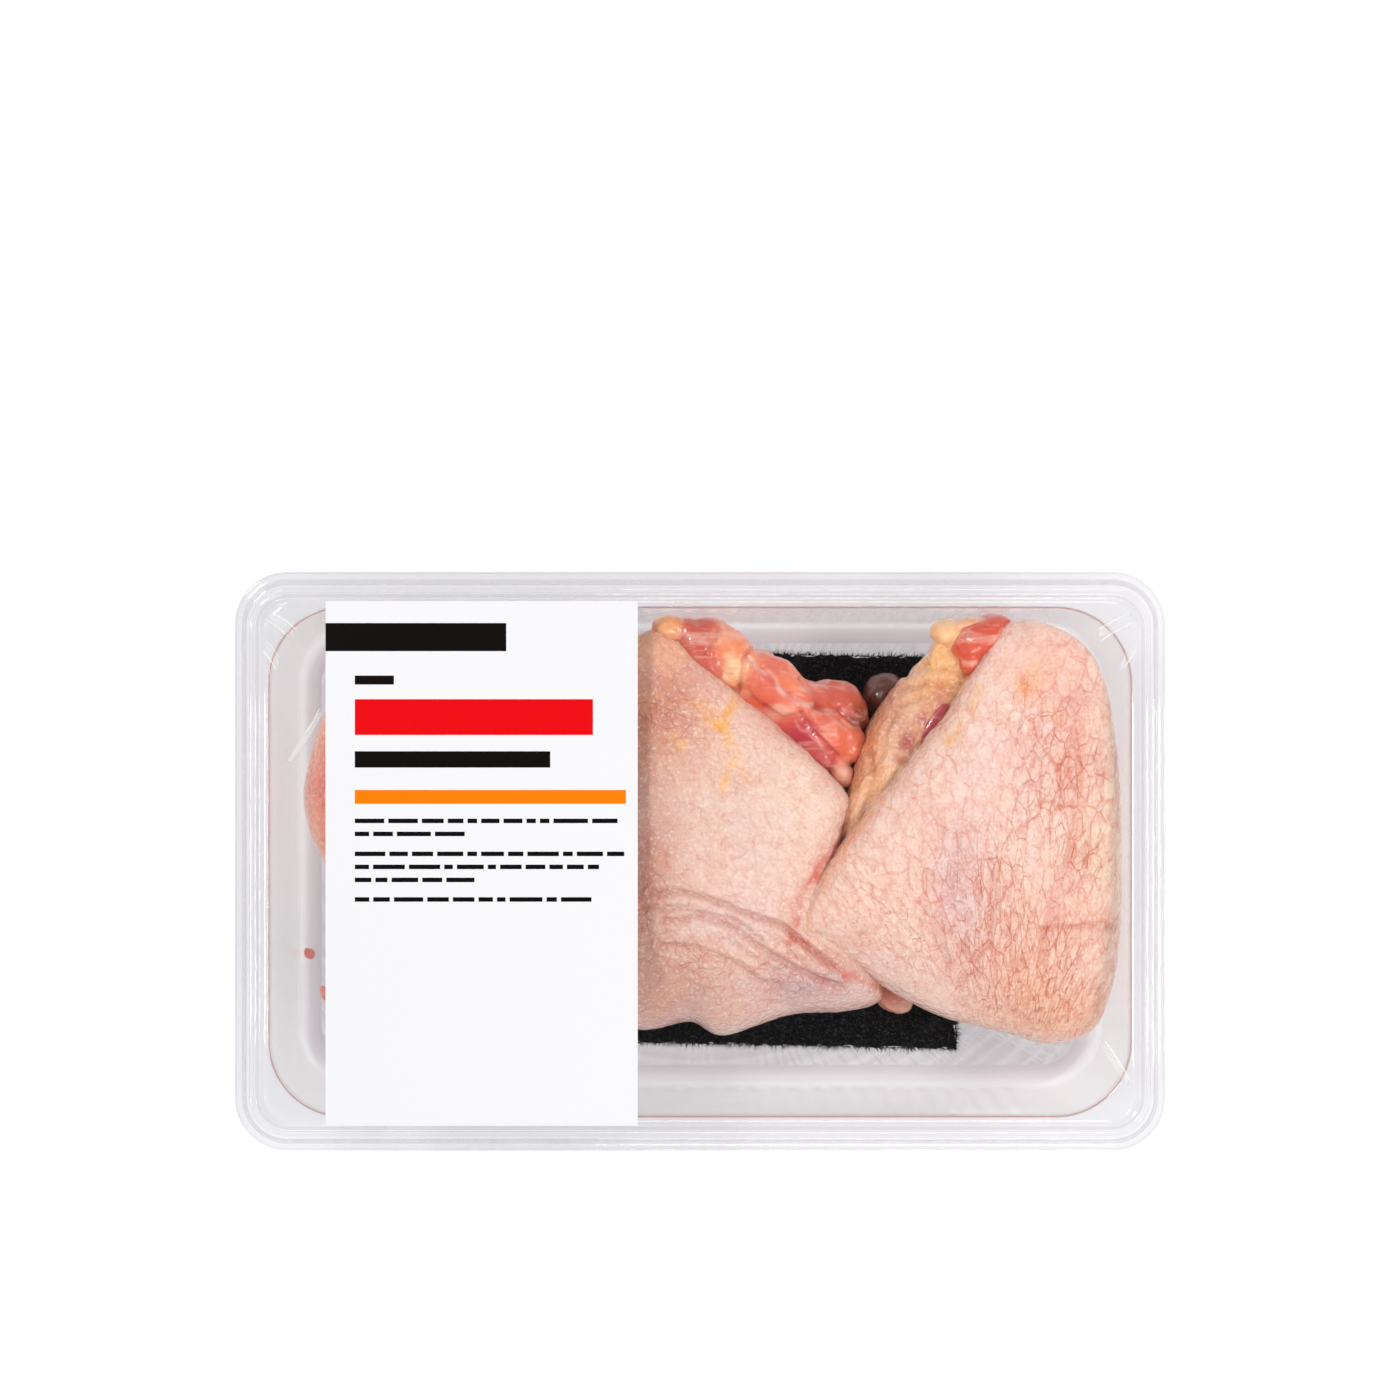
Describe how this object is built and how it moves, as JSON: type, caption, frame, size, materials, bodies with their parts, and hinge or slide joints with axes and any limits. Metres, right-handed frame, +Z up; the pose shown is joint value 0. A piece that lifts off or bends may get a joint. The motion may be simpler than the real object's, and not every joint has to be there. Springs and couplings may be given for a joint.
{
  "type": "meat tray pack",
  "caption": "Clear rectangular food tray with a sealed film lid and paper label, holding skin-on chicken thighs on a black absorbent pad.",
  "frame": {"origin": "middle of the underside of the tray, on the surface it stands on", "axes": "+X along the tray's length, away from the label's end; +Y across it, towards the label's top edge; +Z up"},
  "size_m": [0.2298, 0.143, 0.05],
  "materials": {
    "clear_plastic": "gloss",
    "clear_film": "gloss",
    "white_paper": "satin",
    "black_felt": "matte",
    "chicken_skin": "satin",
    "raw_meat": "gloss",
    "yellow_fat": "satin"
  },
  "bodies": {
    "root": {"tray": "clear_plastic", "lid_film": "clear_film", "label": "white_paper", "absorbent_pad": "black_felt", "thigh_middle_meat": "raw_meat", "thigh_middle_skin": "chicken_skin", "thigh_right_meat": "raw_meat", "thigh_right_skin": "chicken_skin", "thigh_right_flap": "yellow_fat", "thigh_left": "chicken_skin"}
  },
  "joints": []
}
